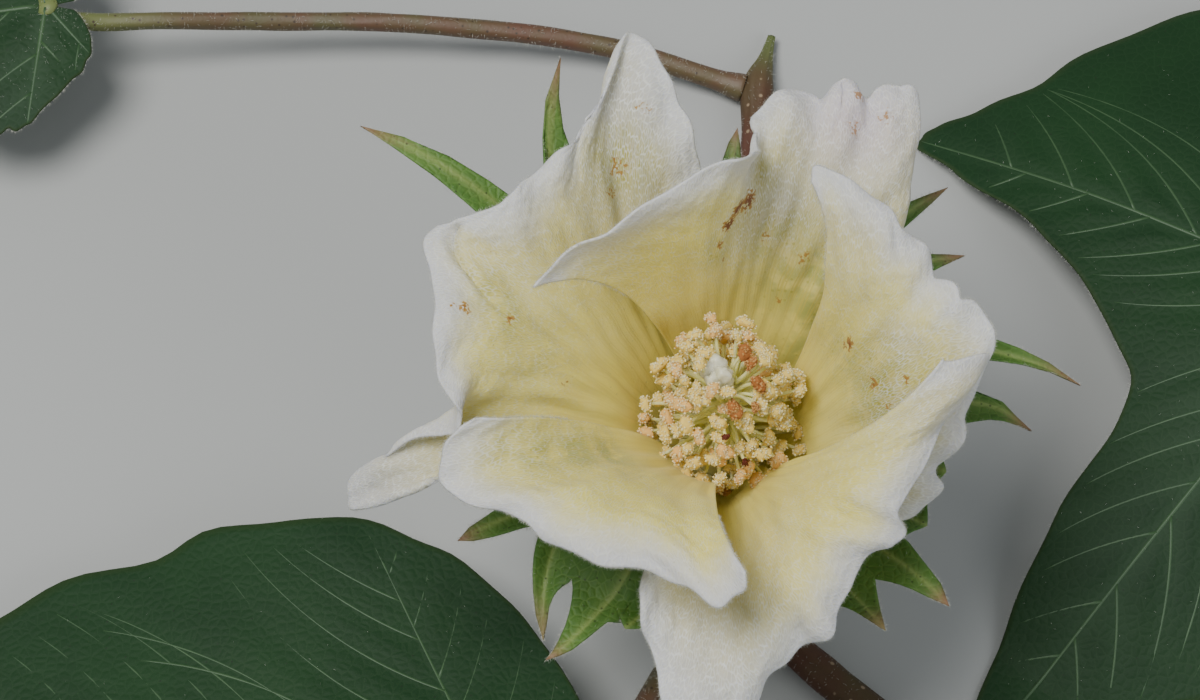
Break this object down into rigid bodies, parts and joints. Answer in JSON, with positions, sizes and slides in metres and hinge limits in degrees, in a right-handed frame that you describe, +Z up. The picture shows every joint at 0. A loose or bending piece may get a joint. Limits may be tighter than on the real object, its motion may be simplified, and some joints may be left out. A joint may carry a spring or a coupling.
{
  "type": "cut cotton flowering shoot",
  "caption": "Cut cotton flowering shoot lying down: an open cream bloom with toothed bracts on a short stalk, over a piece of branch with lobed leaves on long stalks.",
  "frame": {"origin": "centre of the shoot's outline, on the level surface that it lies on", "axes": "+Z up from that surface, along the bloom's axis; +X and +Y level, with the branch running along Y from its cut end at -Y to its bud at +Y"},
  "size_m": [0.2283, 0.2056, 0.0659],
  "materials": {
    "petal": "matte, cream white and translucent, pale yellow towards the throat",
    "stamen": "powdery cream anthers on pale yellow filaments",
    "stigma": "moist, whitish",
    "bract": "matte, veined yellow-green with red-brown tips",
    "calyx": "matte pale green with dark gland dots",
    "stem": "red-brown bark, slightly hairy",
    "leaf_stalk": "green flushed with red-brown, hairy",
    "leaf": "satin dark green with paler veins"
  },
  "bodies": {
    "root": {"petal_left": "petal", "petal_top": "petal", "petal_upper_right": "petal", "petal_lower_right": "petal", "petal_lower_left": "petal", "bract_upper": "bract", "bract_right": "bract", "bract_lower": "bract", "calyx": "calyx", "staminal_column": "stamen", "stigma": "stigma", "bloom_stalk": "leaf_stalk", "branch": "stem", "leaf_left": "leaf", "leaf_left_stalk": "leaf_stalk", "leaf_right": "leaf", "leaf_right_stalk": "leaf_stalk", "leaf_tip": "leaf", "leaf_tip_stalk": "leaf_stalk"}
  },
  "joints": []
}
